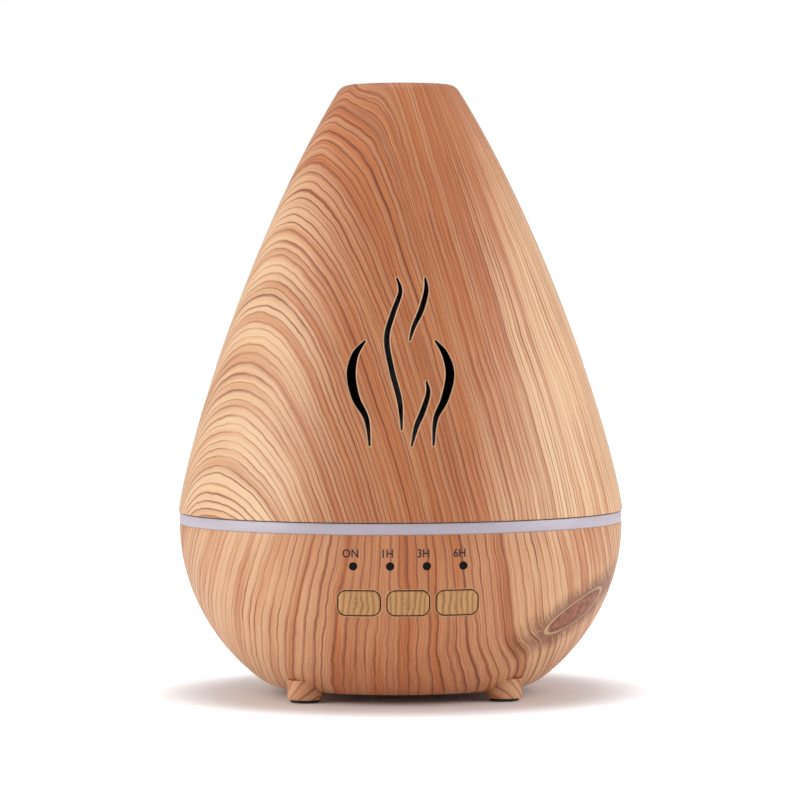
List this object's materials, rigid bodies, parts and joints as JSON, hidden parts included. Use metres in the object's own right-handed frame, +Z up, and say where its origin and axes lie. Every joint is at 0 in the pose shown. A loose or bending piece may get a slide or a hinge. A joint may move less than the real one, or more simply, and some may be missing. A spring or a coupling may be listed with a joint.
{
  "type": "essential oil diffuser",
  "caption": "Teardrop ultrasonic essential oil diffuser with a wood-grain cover, flame-shaped light slots, a lift-off lid over a water tank, a light ring, push buttons and feet.",
  "frame": {"origin": "on the surface it stands on, on the housing's vertical axis", "axes": "+Z up the housing's axis, -Y out of the control panel, +X to the right of someone facing the panel"},
  "size_m": [0.1502, 0.1502, 0.205],
  "materials": {
    "wood_print": "satin plastic with a printed wood grain",
    "button_print": "satin plastic with a printed wood grain, a little yellower",
    "milky_plastic": "milky translucent",
    "white_plastic": "smooth",
    "silicone": "soft, matt",
    "rubber": "matt black",
    "brass": "plain",
    "copper": "enamelled wire",
    "steel": "zinc plated",
    "aluminium": "plain",
    "dark_plastic": "fine texture",
    "board_green": "solder mask",
    "capacitor_sleeve": "printed sleeve, no lettering",
    "ivory_plastic": "smooth",
    "clear_plastic": "clear",
    "smoked_plastic": "smoked, nearly black",
    "wire_red": "insulation",
    "wire_black": "insulation",
    "wire_grey": "insulation"
  },
  "bodies": {
    "base": {"light_ring": "milky_plastic", "led_board": "board_green", "ring_leds": "white_plastic", "water_tank": "white_plastic", "ultrasonic_disc": "brass", "disc_seal": "silicone", "disc_retainer": "steel", "retainer_screws": "steel", "base_shell": "wood_print", "foot_pads": "rubber", "bottom_cover": "dark_plastic", "bottom_cover_screws": "steel", "tank_screws": "steel", "fan_frame": "dark_plastic", "fan_stator": "copper", "fan_bearing": "brass", "fan_screws": "steel", "air_guide": "white_plastic", "main_board": "board_green", "main_board_screws": "steel", "inductor": "copper", "capacitors": "capacitor_sleeve", "heat_sink": "aluminium", "drive_transistor": "dark_plastic", "board_connectors": "ivory_plastic", "dc_inlet_body": "dark_plastic", "dc_inlet_pin": "steel", "dc_inlet_spring": "steel", "control_board": "board_green", "control_board_screws": "steel", "tact_switches": "dark_plastic", "indicator_leds": "clear_plastic", "indicator_windows": "smoked_plastic", "disc_wires": "wire_red", "fan_wires": "wire_black", "led_wires": "wire_grey", "control_harness": "wire_grey", "inlet_wires": "wire_red"},
    "inner_cover": {"inner_cover": "milky_plastic", "splash_guard": "white_plastic"},
    "outer_cover": {"outer_cover": "wood_print"},
    "fan_rotor": {"fan_rotor": "dark_plastic", "fan_magnet": "steel", "fan_shaft": "steel"},
    "light_button": {"light_button": "button_print", "light_plunger": "dark_plastic"},
    "timer_button": {"timer_button": "button_print", "timer_plunger": "dark_plastic"},
    "mist_button": {"mist_button": "button_print", "mist_plunger": "dark_plastic"}
  },
  "joints": [
    {"name": "inner_cover_lift", "type": "slide", "parent": "base", "child": "inner_cover", "axis": [0, 0, 1], "range_m": [0, 0.03]},
    {"name": "outer_cover_lift", "type": "slide", "parent": "inner_cover", "child": "outer_cover", "axis": [0, 0, 1], "range_m": [0, 0.15]},
    {"name": "fan_spin", "type": "hinge", "parent": "base", "child": "fan_rotor", "pos_m": [0, 0.014, 0.01], "axis": [0, 0, 1], "continuous": true},
    {"name": "light_press", "type": "slide", "parent": "base", "child": "light_button", "axis": [0, 1, 0], "range_m": [0, 0.0005], "stiffness_N_per_m": 1500, "springref_m": -0.0005},
    {"name": "timer_press", "type": "slide", "parent": "base", "child": "timer_button", "axis": [0, 1, 0], "range_m": [0, 0.0005], "stiffness_N_per_m": 1500, "springref_m": -0.0005},
    {"name": "mist_press", "type": "slide", "parent": "base", "child": "mist_button", "axis": [0, 1, 0], "range_m": [0, 0.0005], "stiffness_N_per_m": 1500, "springref_m": -0.0005}
  ]
}
